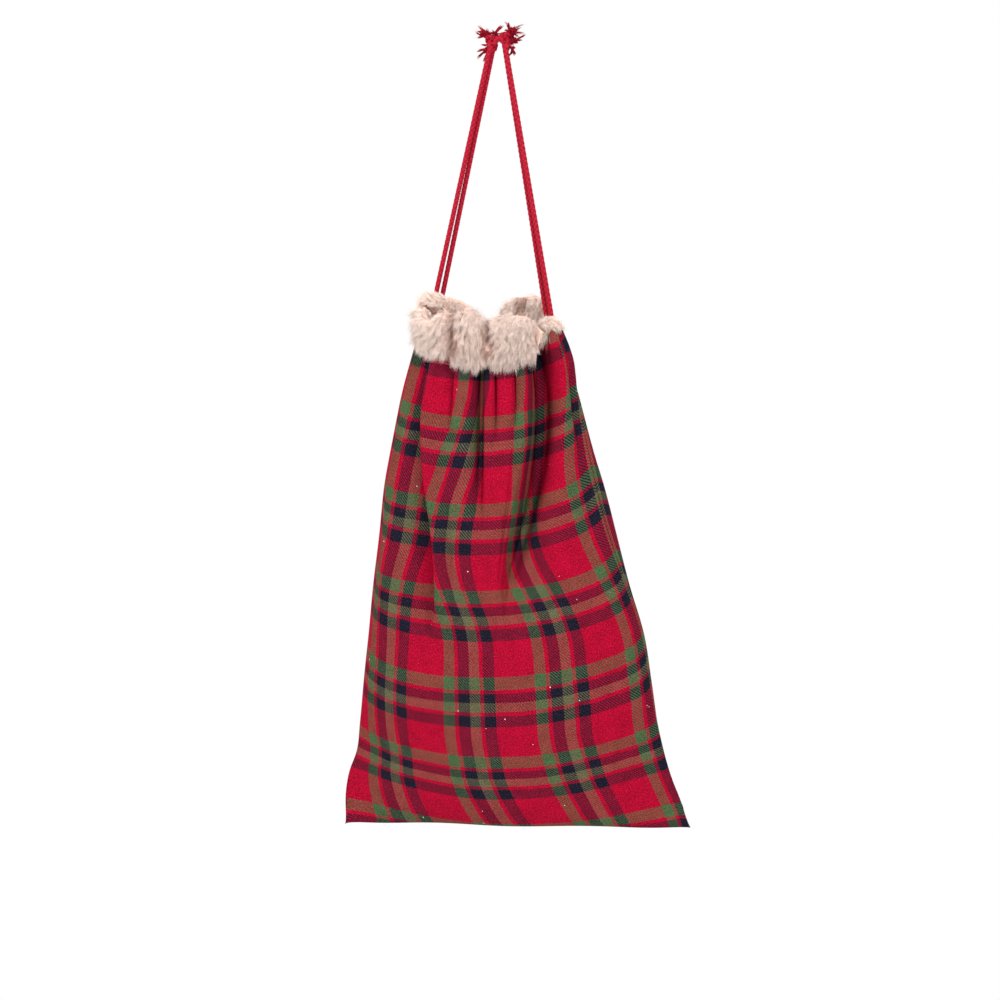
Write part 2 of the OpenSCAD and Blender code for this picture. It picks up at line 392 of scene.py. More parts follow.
def cord_yarn():
    """Braided cotton yarn: bright on each ply's crown, deep with painted shade between plies, with fine
    fibres along it.
    """
    f = Finish("cord_yarn")
    ply = f.attribute("ply")
    uv = f.node("ShaderNodeUVMap", {"uv_map": "UVMap"}).outputs[0]
    fibres = f.noise(uv, 1500.0, 3.0, 0.6)
    # Painted shade: the colour deepens from each ply's crown down into the gaps between plies
    colour = f.ramp(ply, [(0.0, linear(98, 4, 24)), (0.5, linear(140, 4, 28)), (1.0, linear(172, 14, 42))])
    colour = f.mix((fibres - 0.5).math("MULTIPLY", 0.9, clamp=True), colour, linear(196, 70, 92))
    return f.done(Base_Color=colour, Roughness=0.8, Normal=f.bump(fibres, 0.25 * MM, 0.8), Sheen_Weight=0.08,
                  Sheen_Roughness=0.4, Sheen_Tint=(1.0, 0.5, 0.5, 1), Specular_IOR_Level=0.15)


def frayed_yarn():
    """Loose yarn ends, paler towards their tips."""
    f = Finish("frayed_yarn")
    tip, tone = f.attribute("tip"), f.attribute("tone")
    colour = f.mix(tone * 0.45, f.ramp(tip, [(0.0, linear(140, 2, 26)), (1.0, linear(160, 8, 36))]),
                   linear(84, 8, 22))
    return f.done(Base_Color=colour, Roughness=0.85, Specular_IOR_Level=0.15)


def seam_cloth():
    """Raw seam allowance: the cloth's dull underside with pale overlock stitches across it."""
    f = Finish("seam_allowance")
    where = f.node("ShaderNodeTexCoord").outputs["Object"]
    z = Value(f, f.node("ShaderNodeSeparateXYZ", sockets={0: where}).outputs[2])
    stitch = (z * 380).math("FRACT") < 0.4
    cloth = f.ramp(f.noise(where, 300.0), [(0.3, linear(96, 14, 34)), (0.7, linear(150, 20, 44))])
    colour = f.mix(stitch * 0.6, cloth, linear(196, 92, 96))
    return f.done(Base_Color=colour, Roughness=0.95, Normal=f.bump(f.noise(where, 900.0), 0.3 * MM))


def stitching():
    """Sewing thread with its twist."""
    f = Finish("collar_thread")
    where = f.node("ShaderNodeTexCoord").outputs["Object"]
    wave = f.value("ShaderNodeTexWave", {"bands_direction": "DIAGONAL"}, {"Vector": where, "Scale": 700.0},
                   out="Fac")
    colour = f.ramp(wave, [(0.0, linear(150, 120, 104)), (1.0, linear(214, 196, 182))])
    return f.done(Base_Color=colour, Roughness=0.7, Normal=f.bump(wave, 0.2 * MM))


def finish_piece(piece, material, slot, *nodes):
    """Gives a piece its material and hides the CAD nodes that it stands for. The slot is not used."""
    piece.data.materials.append(material)
    if nodes:
        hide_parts(*nodes)
    return piece


# ---------------------------------------------------------------- camera

def make_camera(azimuth=12.0, elevation=3.0, distance=2.7625, lens=85.0):
    """A camera turned a little round to the sack's right and looking slightly down at its middle."""
    a, e = math.radians(azimuth), math.radians(elevation)
    target = np.array([0.002, 0, -0.5265])
    back = np.array([math.sin(a) * math.cos(e), -math.cos(a) * math.cos(e), math.sin(e)])
    data = bpy.data.cameras.new("camera")
    data.lens, data.sensor_width = lens, 36.0
    camera = bpy.data.objects.new("camera", data)
    camera.location = target + back * distance
    camera.rotation_euler = (math.pi / 2 - e, 0, a)
    bpy.context.scene.collection.objects.link(camera)
    bpy.context.scene.camera = camera


make_camera()


# ---------------------------------------------------------------- cords

def braid(path, radius, plies=3, lay=4.6 * MM, around=30, closed=False):
    """A round braid along a path. Two families of plies wind opposite ways. Where they cross, one is on top
    by turns of a checkerboard, and the surface stands at radius times 0.72 + 0.28 of the top ply's height."""
    path = np.asarray(path, float)
    side, other = tube_frames(path, closed)
    along = np.concatenate([[0], np.cumsum(np.linalg.norm(np.diff(path, axis=0), axis=1))])
    turn = np.arange(around) / around
    t, s = np.meshgrid(turn, along / (2 * lay))
    first, second = plies * t + s * plies / 2, plies * t - s * plies / 2
    near, far = first % 1 - 0.5, second % 1 - 0.5
    first_on_top = (np.floor(first) + np.floor(second)) % 2 < 1
    crown = np.where(first_on_top, near, far)
    length = np.where(first_on_top, far, near)
    height = np.cos(np.pi * crown) ** 0.8 * (0.7 + 0.3 * np.cos(np.pi * length))
    r = radius * (0.72 + 0.28 * height)
    angle = 2 * np.pi * t
    rings = (path[:, None] + side[:, None] * (r * np.cos(angle))[..., None]
             + other[:, None] * (r * np.sin(angle))[..., None])
    uv = np.stack(np.broadcast_arrays(t * 2 * np.pi * radius, along[:, None]), -1)
    return rings, uv, height


def cord_piece(name, path, radius=CORD_D / 2 + 0.35 * MM):
    """A braided cord along a path. The plies' crowns stand a little outside the cord's own diameter."""
    rings, uv, height = braid(path, radius)
    # The plies' heights go to the attribute ply, which paints shade between the plies
    return capped_tube(name, rings, uv, ply=height)


def straight(foot, head, pitch=0.75 * MM):
    """Points from foot to head at an even pitch."""
    foot, head = np.array(foot), np.array(head)
    n = int(np.linalg.norm(head - foot) / pitch) + 2
    return foot + (head - foot) * np.linspace(0, 1, n)[:, None]


YARN = cord_yarn()
FRAY = frayed_yarn()
STRAND_Y = 3.2 * MM
# Each strand runs from its foot in the collar's side slit to its head under the knot
STRANDS = {
    "left_cord_front_strand": [(-80 * MM, -STRAND_Y, EXIT_Z), (-8.5 * MM, -3 * MM, -2 * MM)],
    "left_cord_back_strand": [(-73 * MM, STRAND_Y, EXIT_Z), (-6 * MM, 3 * MM, -2 * MM)],
    "right_cord_front_strand": [(63.5 * MM, -STRAND_Y, EXIT_Z), (8.5 * MM, -3 * MM, -1 * MM)],
    "right_cord_back_strand": [(56.5 * MM, STRAND_Y, EXIT_Z), (6.5 * MM, 3 * MM, -1 * MM)],
}
KNOTS = {"left": (-7 * MM, 0, 5 * MM), "right": (9.5 * MM, 0, 6.5 * MM)}


def overhand(name, at, mirror):
    """An overhand knot pulled tight: a trefoil, across = sin t + 2 sin 2t, depth = -1.5 sin 3t and
    up = cos t - 2 cos 2t, scaled down until its turns press on each other."""
    t = np.linspace(0, 2 * np.pi, 150, endpoint=False)
    across, up = np.sin(t) + 2 * np.sin(2 * t), np.cos(t) - 2 * np.cos(2 * t)
    curve = np.stack([across, -1.5 * np.sin(3 * t), up], 1)
    tall = 3.0 if mirror > 0 else 3.6
    curve *= np.array([2.2 * mirror, 2.2, tall]) * MM
    rings, uv, height = braid(curve + np.array(at), 3.2 * MM, lay=3.8 * MM, around=22, closed=True)
    n, m = rings.shape[:2]
    faces = grid_faces(n, m, round_rows=True, round_columns=True)
    # The plies' heights go to the attribute ply, which paints shade between the plies
    return mesh_object(name, rings, faces, uv, ply=height)


def fibres(name, root, way, bend, length, radius, sections=3, tone=None, taper=0.75):
    """Thin tapering fibres, each a closed three-sided tube that ends in a point: at share t of its length it
    lies at root + way * length * t + bend * length * t squared. The value tip runs along a fibre, and tone
    differs by fibre."""
    n, sides = len(root), 3
    t = np.linspace(0, 1, sections + 1)[:-1]
    side = unit(np.cross(way, way[:, [1, 2, 0]] + 0.3))
    other = np.cross(unit(way), side)
    angle = 2 * np.pi * np.arange(sides) / sides
    middle = (root[:, None] + way[:, None] * (length[:, None] * t)[..., None]
              + bend[:, None] * (length[:, None] * t**2)[..., None])
    r = radius[:, None] * (1 - taper * t)
    ring = (side[:, None, None] * np.cos(angle)[:, None] + other[:, None, None] * np.sin(angle)[:, None])
    points = middle[:, :, None] + ring * r[..., None, None]
    ends = root + (way + bend) * length[:, None]
    points = np.concatenate([points.reshape(n, -1, 3), ends[:, None]], 1)
    per = points.shape[1]
    quads = grid_faces(sections, sides, round_columns=True)
    last = (sections - 1) * sides + np.arange(sides)
    tip = np.stack([last, np.roll(last, -1), np.full(sides, per - 1)], 1)
    foot = np.arange(sides)[::-1][None]
    one = np.concatenate([quads[:, [0, 1, 2]], quads[:, [0, 2, 3]], tip, foot])
    faces = (one[None] + (np.arange(n) * per)[:, None, None]).reshape(-1, 3)
    share = np.concatenate([np.repeat(t, sides), [1.0]])
    tone = rng.random(n) if tone is None else tone
    return mesh_object(name, points, faces, tip=np.tile(share, n), tone=np.repeat(tone, per))


def frayed_ends(name, at, ends, per=13):
    """The unlaid yarns of cut ends. A yarn goes its own way from the knot, and its fibres lie close to it at
    the root and part towards their tips. Offsets and lengths are in millimetres."""
    roots, ways, bends, lengths = [], [], [], []
    for offset, direction, yarns, length in ends:
        yarn = unit(np.array(direction) + rng.normal(0, 0.38, (yarns, 3)))
        start = np.array(at) + np.array(offset) * MM + rng.normal(0, 1.8, (yarns, 3)) * MM
        curl = rng.normal(0, 0.75, (yarns, 3)) + np.array([0, 0, -0.1])
        roots.append(np.repeat(start, per, 0) + rng.normal(0, 0.4, (yarns * per, 3)) * MM)
        ways.append(unit(np.repeat(yarn, per, 0) + rng.normal(0, 0.07, (yarns * per, 3))))
        bends.append(np.repeat(curl, per, 0) + rng.normal(0, 0.1, (yarns * per, 3)))
        lengths.append(rng.uniform(0.72, 1.08, yarns * per) * length * MM)
    root, way, bend = np.concatenate(roots), np.concatenate(ways), np.concatenate(bends)
    length = np.concatenate(lengths)
    radius = rng.uniform(0.45, 0.8, len(root)) * MM
    return fibres(name, root, way, bend, length, radius, sections=5, taper=0.4)


def make_cords():
    """The four free strands, two knots and their frayed ends."""
    frays = {
        "left": [((-4, -1, 8), (-0.9, -0.1, 0.8), 26, 6.5), ((2, -1, 9), (0.5, -0.1, 0.9), 10, 5),
                 ((-6, -1, -7), (-0.6, -0.1, -0.9), 15, 6)],
        "right": [((4, -1, 10), (0.9, -0.1, 0.5), 28, 6.5), ((7, -1, 0), (1.0, -0.1, 0.1), 16, 5.5),
                  ((6, -1, -8), (0.7, -0.1, -0.8), 12, 5)],
    }
    for hand, mirror in (("left", 1), ("right", -1)):
        knot = overhand(f"{hand}_overhand_knot", KNOTS[hand], mirror)
        finish_piece(knot, YARN, "cord", f"{hand}_knot")
        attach(knot, f"{hand}_knot")
        fray = frayed_ends(f"{hand}_frayed_yarns", KNOTS[hand], frays[hand])
        finish_piece(fray, FRAY, "cord", f"{hand}_frayed_ends")
        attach(fray, f"{hand}_knot")
        for part in ("front", "back"):
            node = f"{hand}_cord_{part}_strand"
            foot, head = STRANDS[node]
            path = straight(foot, np.array(head) + np.array([0, 0, 3 * MM]))
            piece = finish_piece(cord_piece(f"{hand}_{part}_cord", path), YARN, "cord", node)
            way = unit(path[-1] - path[0])
            path[0] + way * 5 * MM
            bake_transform(piece)
            long = float(np.linalg.norm(path[-1] - path[0]))


make_cords()


# ---------------------------------------------------------------- the sack's cloth

def share(z):
    """How far down the sack a height lies: 0 at the neck's left end and 1 at the hem."""
    return (NECK_Z - z) / (NECK_Z - HEM_Z)


def neck_line(turn, side):
    """Height of the neck: it rises to the right seam and sags by a sine between the seams."""
    sag = FRONT_SAG if side == FRONT else BACK_SAG
    return NECK_Z + NECK_RISE * turn / 180 - sag * np.sin(np.radians(turn))


# The shoulder: where it starts and is full, in degrees round the front, and how far it stays below the seams
SHOULDER_TURNS = (147, 154)
SHOULDER_GAP = 4 * MM


def shoulder_lift(turn, side):
    """How far the cloth's top stands above the neck line. In front it rises beside the right seam, in a
    shoulder over the collar's end, to just below the straight line between the two seams' tops."""
    if side == BACK:
        return 0 * turn
    return step(turn, *SHOULDER_TURNS) * (FRONT_SAG * np.sin(np.radians(turn)) - SHOULDER_GAP)


# Gathers of each panel: the angle of the valley at the neck, the angle lower down, its depth in millimetres,
# how far down it runs, how far its bottom slips sideways under the cloth on its right (plus) or left (minus),
# which makes a sharp pleat, and by what share the lobe after it stays sunk
FRONT_GATHERS = [(36, 57, 25, 0.68, 0.9, 0), (68, 74, 15, 0.2, 0.3, 0), (86, 84, 22, 0.38, 0.1, 0.75),
                 (90, 87, 22, 0.38, 0.1, 0), (100, 91, 14, 0.2, -0.2, 0), (112, 93, 13, 0.2, 0.2, 0),
                 (126, 95, 37, 0.56, 0.15, 0.88), (144, 98, 37, 0.56, 0.1, 0), (165, 153, 10, 0.34, -0.8, 0)]
BACK_GATHERS = [(30, 42, 13, 0.38, 0.5, 0), (58, 60, 11, 0.26, 0.1, 0), (82, 88, 15, 0.42, -0.4, 0),
                (108, 104, 9, 0.2, 0.2, 0), (132, 122, 15, 0.46, 0.5, 0), (158, 146, 11, 0.3, -0.5, 0)]
SEAM_VALLEY = (3, 0.3, 0, 0)
WRINKLE_TURNS = rng.uniform(0, 2 * np.pi, (2, 12))
# Swells of the belly: height in millimetres, waves round, waves down and which of the phases
SWELLS = [(2.4, 3.1, -6.0, 4), (1.3, 6.3, -9.0, 5), (0.9, 2.2, 17.0, 6), (0.45, 11, -21, 7)]


def gather_depth(turn, v, gathers, amount):
    """How far the cloth lies inside the plain outline, and how far it slips sideways. Between two valleys it
    stands in a round lobe; at a valley it goes in by the valley's own depth, which fades downwards."""
    lines = [(0, 0, *SEAM_VALLEY)] + gathers + [(180, 180, *SEAM_VALLEY)]
    soft = 0.85 * step(v, 0.1, 0.55)
    inside = np.zeros(np.broadcast(turn, v).shape)
    slip = np.zeros(inside.shape)
    for (a0, a1, da, ra, pa, sunk), (b0, b1, db, rb, pb, _) in zip(lines, lines[1:]):
        start = a0 + (a1 - a0) * step(v, 0, 0.5)
        end = b0 + (b1 - b0) * step(v, 0, 0.5)
        c = np.clip((turn - start) / (end - start), 0, 1)
        here = (turn >= start) & (turn < end)
        deep_a = da * (1 - step(v, ra * 0.2, ra)) * (1 - c) * MM * amount
        deep_b = db * (1 - step(v, rb * 0.2, rb)) * c * MM * amount
        crisp, slow = (1 - np.abs(2 * c - 1) ** 2.6) ** 0.6, 0.5 - 0.5 * np.cos(2 * np.pi * c)
        lobe = (crisp * (1 - soft) + slow * soft) * (1 - sunk)
        inside = np.where(here, (deep_a + deep_b) * (1 - lobe), inside)
        slip = np.where(here, (deep_a * pa + deep_b * pb) * (1 - lobe), slip)
    return inside, slip


def small_wrinkles(turn, v, side):
    """Puckers under the stitched neck and slow swells on the belly, both sums of sines."""
    phases = WRINKLE_TURNS[0 if side == FRONT else 1]
    angle = np.radians(turn)
    pucker = sum(np.sin(angle * k + phases[i] + 3 * v) / (i + 1.5) for i, k in enumerate((23, 37, 51)))
    pucker = pucker * (1 - step(v, 0.0, 0.12)) * 2.4 * MM
    swell = sum(np.sin(angle * waves + v * down + phases[i]) * high for high, waves, down, i in SWELLS)
    swell = swell * step(v, 0.12, 0.45) * MM
    return (pucker + swell) * np.abs(np.sin(angle)) ** 0.5


def right_seam_turn(v):
    """Degrees by which the right seam sits forward of the sack's side, most of all below the neck."""
    return 17 * np.exp(-(((v - 0.32) / 0.2) ** 2)) * step(v, 0.0, 0.1)


# Where the belly starts to round off, how far down it rounds, and how much lower the hem's left end hangs
ROUND_FROM = 0.82
ROUND_DROP = 88 * MM
LEFT_HEM_DROP = 12 * MM
# The shoulder stands out over the collar's end; the cloth dips at a seam
SHOULDER_BULGE = 8 * MM
SEAM_DIP, SEAM_DIP_WIDTH = 1.6 * MM, 2.5 * MM


def outline_points(turn_share, v, side, amount):
    """Points of a panel. Across, half an ellipse between the seams, pinched flat towards the bottom corners.
    Down, the outline tables to near the hem, then a quarter ellipse that tucks under to the seam. Gathers
    move points along the way out and sideways."""
    reach = right_seam_turn(v)
    turn = turn_share * (180 - reach if side == FRONT else 180 + reach)
    level = turn_share * 180
    under = np.clip((v - ROUND_FROM) / (1 - ROUND_FROM), 0, 1) * np.pi / 2
    down = np.clip(v / ROUND_FROM, None, 1)
    a = np.radians(turn)
    tuck = under * (1 + 0.27 * np.sin(np.radians(level)) ** 2)
    z = neck_line(level, side) * (1 - down) + (HEM_Z + ROUND_DROP) * down - ROUND_DROP * np.sin(tuck)
    z = z + shoulder_lift(level, side) * (1 - step(v, 0, 0.1))
    s = share(z)
    left, right = smooth_table(s, LEFT_EDGE) * SACK_W, smooth_table(s, RIGHT_EDGE) * SACK_W
    depth = BELLY_D * smooth_table(s, DEPTH) * np.cos(under) ** 0.75
    half, middle = (right - left) / 2, (left + right) / 2
    pinch = 1 + 1.3 * step(v, 0.7, 0.95)
    bulge = signed_power(np.sin(a), pinch)
    out = unit(np.stack([-np.cos(a) / half, side * np.sin(a) / np.maximum(depth, 8 * MM)], -1))
    along = np.stack([side * out[..., 1], -side * out[..., 0]], -1)
    gathers = FRONT_GATHERS if side == FRONT else BACK_GATHERS
    inside, slip = gather_depth(np.clip(turn, 0, 180), v, gathers, amount)
    seam_near = np.minimum(turn_share, 1 - turn_share) * np.pi * half
    calm = step(seam_near, 0, 10 * MM) * np.cos(under)
    move = (small_wrinkles(turn, v, side) - inside) * calm
    if side == FRONT:
        move = move + SHOULDER_BULGE * step(level, 145, 156) * (1 - step(v, 0.03, 0.16)) * calm
    move = move - SEAM_DIP * np.exp(-((seam_near / SEAM_DIP_WIDTH) ** 2)) * np.cos(under)
    x = middle - half * np.cos(a) + out[..., 0] * move + along[..., 0] * slip * calm
    y = side * depth * bulge + out[..., 1] * move + along[..., 1] * slip * calm
    z = z - LEFT_HEM_DROP * (1 - turn_share) ** 1.5 * step(v, 0.75, 1)
    z = z + (3.0 * np.sin(a) ** 4 + 1.2 * np.sin(7 * a) * np.sin(a)) * MM * step(v, 0.84, 1)
    return np.stack([x, y, z], -1)


# The most that the gathers may deepen, and how far the weave is skewed at the hem
DEEPEST = 2.6
HEM_SKEW = 34 * MM


def cloth_grid(side, columns=236, rows=196, tucked=44):
    """A panel's points and its cloth coordinates in metres. At each height the gathers deepen, as far as they
    may, until the cloth round the outline is as long as it was cut, and the columns are then spaced evenly
    along it. Down the cloth the length is that of the plain outline; what it lacks of the cut length is taken
    up towards the hem."""
    fine = np.linspace(0, 1, 1600)
    above, below = np.linspace(-0.02, ROUND_FROM, rows - tucked), np.linspace(ROUND_FROM, 1, tucked + 1)[1:]
    v = np.concatenate([above, below])[:, None]

    def row_steps(amount):
        """The distances between neighbouring points of every row, for gathers deepened by an amount."""
        return np.linalg.norm(np.diff(outline_points(fine[None], v, side, amount), axis=1), axis=2)

    amounts = np.linspace(0, DEEPEST, 12)
    lengths = np.array([row_steps(amount).sum(1) for amount in amounts]).T
    wanted = np.array([np.interp(CLOTH_W, row, amounts) for row in lengths])
    wanted = even_out(wanted[:, None], 9)
    run = np.concatenate([np.zeros((len(v), 1)), np.cumsum(row_steps(wanted), axis=1)], 1)
    even = np.linspace(0, 1, columns)
    place = even_out(np.array([np.interp(even, row / row[-1], fine) for row in run]), 6)
    place[:, 0], place[:, -1] = 0, 1
    points = outline_points(place, v, side, wanted)

    coarse = fine[::8]
    plain = outline_points(coarse[None], v, side, 0)
    down = np.linalg.norm(np.diff(plain, axis=0, prepend=plain[:1]), axis=2)
    down = np.cumsum(down, axis=0) - 10 * MM - shoulder_lift(180 * coarse, side)
    down = even_out(down, 12)
    down = np.array([np.interp(a, coarse, b) for a, b in zip(place, down)])
    part = down / down[-1]
    down = down + (CLOTH_L - down[-1]) * step(part, 0.7, 1.0)
    skew = HEM_SKEW * step(part, 0.76, 1.02) * np.sin(np.pi * even) ** 0.4
    return points, np.stack([even[None] * CLOTH_W - skew, down], -1)


def even_out(values, reach):
    """Smooths each column of values down its rows by a bell-shaped average over some rows either way."""
    bell = np.hanning(2 * reach + 3)[1:-1]
    bell /= bell.sum()
    padded = np.pad(values, ((reach, reach), (0, 0)), mode="edge")
    return sum(weight * padded[i:i + len(values)] for i, weight in enumerate(bell))


def panel_piece(name, side, node, material):
    """A sheet of cloth with its thickness, riding on the sack."""
    points, uv = cloth_grid(side)
    faces = grid_faces(*points.shape[:2])
    if side == FRONT:
        faces = faces[:, ::-1]
    piece = mesh_object(name, points, faces, uv)
    wall = piece.modifiers.new("cloth_thickness", "SOLIDIFY")
    wall.thickness = CLOTH_T
    wall.offset = -1
    finish_piece(piece, material, "tartan", node)
    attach(piece, "sack")
    return piece, points


TARTAN = tartan()
front_cloth, front_points = panel_piece("front_tartan", FRONT, "front_panel", TARTAN)
back_cloth, _ = panel_piece("back_tartan", BACK, "back_panel", TARTAN)


def seam_strip(name, edge, inward, node):
    """A seam allowance: a narrow band of doubled cloth that follows a seam line and runs inwards from it,
    with a wave that grows away from the seam."""
    inward = np.array(inward)
    t = np.linspace(0, 1, 9)[None, :, None]
    middle = edge[:, None] + inward * 1.8 * MM + inward * t * 7 * MM
    middle[..., 1] += np.sin(np.linspace(0, 60, len(edge)))[:, None] * 0.5 * MM * t[..., 0]
    thick = np.array([0, 0.9 * MM, 0])
    rings = np.concatenate([middle - thick, (middle + thick)[:, ::-1]], 1)
    piece = finish_piece(capped_tube(name, rings), SEAM, "seam", node)
    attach(piece, "sack")


SEAM = seam_cloth()
seam_strip("left_seam_allowance", front_points[4:-34, 0], (1.0, 0, 0), "left_side_seam")
seam_strip("right_seam_allowance", front_points[4:-34, -1], (-1.0, 0, 0), "right_side_seam")
seam_strip("bottom_seam_allowance", front_points[-1, 6:-6], (0, 0, 1.0), "bottom_seam")


# ---------------------------------------------------------------- the fur collar

# Height of the collar's upper edge along each half, from the left slit to the right one, in millimetres
FRONT_TOP = [(0, -296), (12, -300), (26, -314), (42, -316), (56, -310), (66, -309), (76, -307), (88, -312),
             (97, -321), (105, -317), (118, -313), (132, -314), (143, -320), (156, -332), (180, -326)]
BACK_TOP = [(0, -296), (28, -291), (46, -290), (60, -294), (67, -301), (74, -311), (84, -318), (91, -313),
            (98, -299), (108, -291), (125, -288), (138, -290), (150, -300), (163, -314), (180, -322)]
# Valleys of the collar's folds: angle and depth in millimetres
FRONT_FOLDS = [(0, 0), (66, 12), (97, 20), (145, 10), (180, 2)]
BACK_FOLDS = [(0, 0), (36, 6), (82, 10), (118, 6), (150, 7), (180, 2)]
# How far the lower edge of the front half stands above the neck line, in millimetres
FRONT_LOW = [(0, 10), (20, 13), (45, 17), (54, 19), (60, 22), (66, 15), (76, 12), (90, 11), (96, 17),
             (102, 9), (115, 8), (135, 6), (150, 8), (180, 4)]
BACK_LOW = 7
PLUSH = 4.0 * MM


def collar_parts(turn, side):
    """A collar half's middle line, the way out from it, its lower and upper edges and its fold depth."""
    a = np.radians(turn)
    lobes = FRONT_FOLDS if side == FRONT else BACK_FOLDS
    fold = np.zeros_like(turn, float)
    for (a0, d0), (a1, d1) in zip(lobes, lobes[1:]):
        t = (turn - a0) / (a1 - a0)
        c = np.clip(t, 0, 1)
        lobe = np.sqrt(np.maximum(1 - np.abs(2 * c - 1) ** 2.2, 0))
        fold = np.where((t >= 0) & (t <= 1), (d0 * (1 - t) + d1 * t) * (1 - lobe), fold)
    middle = np.stack([COLLAR_X - COLLAR_A * np.cos(a), side * (SLIT + COLLAR_B * np.sin(a)), 0 * a], -1)
    out = unit(np.stack([-COLLAR_B * np.cos(a), side * COLLAR_A * np.sin(a), 0 * a], -1))
    low = neck_line(turn, side) + (smooth_table(turn, FRONT_LOW) if side == FRONT else BACK_LOW) * MM
    low = low + shoulder_lift(turn, side)
    high = smooth_table(turn, FRONT_TOP if side == FRONT else BACK_TOP) * MM
    return middle, out, low, high, fold * MM


def collar_surface(turn, around, side):
    """Points and ways out of the folded band. Round the section, out is half the thickness times a squared
    off cosine, and height is a squared off sine between the edges. The band swells outwards above the cords
    and follows the folds."""
    middle, out, low, high, fold = collar_parts(turn, side)
    c, s = np.cos(around), np.sin(around)
    end = (1 - np.abs(turn / 90 - 1) ** 14) ** 0.5
    height = (low + high) / 2 + (high - low) / 2 * signed_power(s, 0.8) * (0.25 + 0.75 * end)
    up = (height - low) / np.maximum(high - low, MM)
    flare = (3.5 * step(up, 0.1, 0.6) - 2.5 * step(up, 0.8, 1.05) + 1.0) * MM
    flare = flare * (0.4 + 0.6 * np.sin(np.radians(turn)))
    offset = PLUSH * signed_power(c, 0.6) * end + flare - fold * step(up, 0.08, 0.55)
    points = middle + out * offset[..., None]
    near_left, near_right = np.exp(-((turn / 40) ** 2)), np.exp(-(((turn - 180) / 22) ** 2))
    points[..., 0] += (3 * near_left - 5 * near_right) * MM
    points[..., 2] = height
    way = unit(out * c[..., None] + np.array([0, 0, 1.0]) * s[..., None])
    return points, way


def collar_backing(name, side, node):
    """The knitted ground of a collar half, a closed band with closer columns near the slits."""
    even = np.linspace(0, 1, 130)
    turn = 180 * (0.5 - 0.5 * np.cos(np.pi * even)) * 0.5 + 180 * even * 0.5
    around = np.linspace(0, 2 * np.pi, 48, endpoint=False)
    points, _ = collar_surface(*np.meshgrid(turn, around, indexing="ij"), side)
    piece = capped_tube(name, points)
    finish_piece(piece, BACKING, "fur", node)
    return fold_with(piece)


def fold_with(piece):
    """Bakes a piece's transform into its mesh."""
    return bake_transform(piece)


# Fibres in a lock, how far locks and fibres lean off the comb, and the fibres' radii in millimetres
LOCK_FIBRES, LOCK_LEAN, FIBRE_LEAN = 24, 0.26, 0.12
FIBRE_RADII = (0.2, 0.34)


def pile(name, surface, count, body, side=None, length=(10.5, 15.0)):
    """Pile fibres on a surface. Each leans down and sideways with its own lock, whose tips draw together a
    little; locks are the cells round scattered centres. In the valleys of the folds fibres are short and
    darkened with painted shade. A fibre's lock is the centre c nearest to its root p, where c squared - 2 c.p
    is least."""
    turn, around = surface["turn"](count), surface["around"](count)
    root, way = surface["at"](turn, around)
    valley = surface["valley"](turn, root)
    locks = rng.choice(count, max(count // LOCK_FIBRES, 2), replace=False)
    centres = root[locks]
    nearest = np.argmin((centres**2).sum(1) - 2 * root @ centres.T, axis=1)
    lock_lean = rng.normal(0, LOCK_LEAN, (len(locks), 3))
    comb = surface["comb"](turn) + lock_lean[nearest] + rng.normal(0, FIBRE_LEAN, (count, 3))
    size = rng.uniform(*length, count) * MM
    size = size * rng.uniform(0.85, 1.15, len(locks))[nearest] * (1 - 0.6 * valley)
    direction = unit(way * 0.72 + comb * 0.8)
    target = centres[nearest] + unit(way * 0.5 + comb) * size[:, None]
    tip = root + direction * size[:, None]
    bend = (target - tip) * 0.5 / size[:, None] + comb * 0.35 + rng.normal(0, 0.06, (count, 3))
    radius = rng.uniform(*FIBRE_RADII, count) * MM
    tone = rng.normal(0.68, 0.17, count)
    # Painted shade: fibres in the folds' valleys get a lower, darker tone
    tone = np.clip(tone + (rng.random(len(locks))[nearest] - 0.5) * 0.4 - 1.9 * valley, 0, 1)
    piece = fibres(name, root - way * 0.8 * MM, direction, bend, size, radius, tone=tone)
    finish_piece(piece, PILE, "fur")
    if side is None:
        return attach(piece, body)
    return fold_with(piece)


BACKING = fur_backing()
# A dark backing that paints the shade in the hollow at the mouth's corner
SHADED_BACKING = fur_backing("fur_hollow_shade", linear(120, 72, 54), linear(168, 116, 94))
PILE = fur_strands()


# Half width of a valley's line of painted shade in degrees, and the heights above the neck line between which
# it comes in
VALLEY_WIDTH = 4.6
VALLEY_FROM, VALLEY_FULL = 12 * MM, 26 * MM


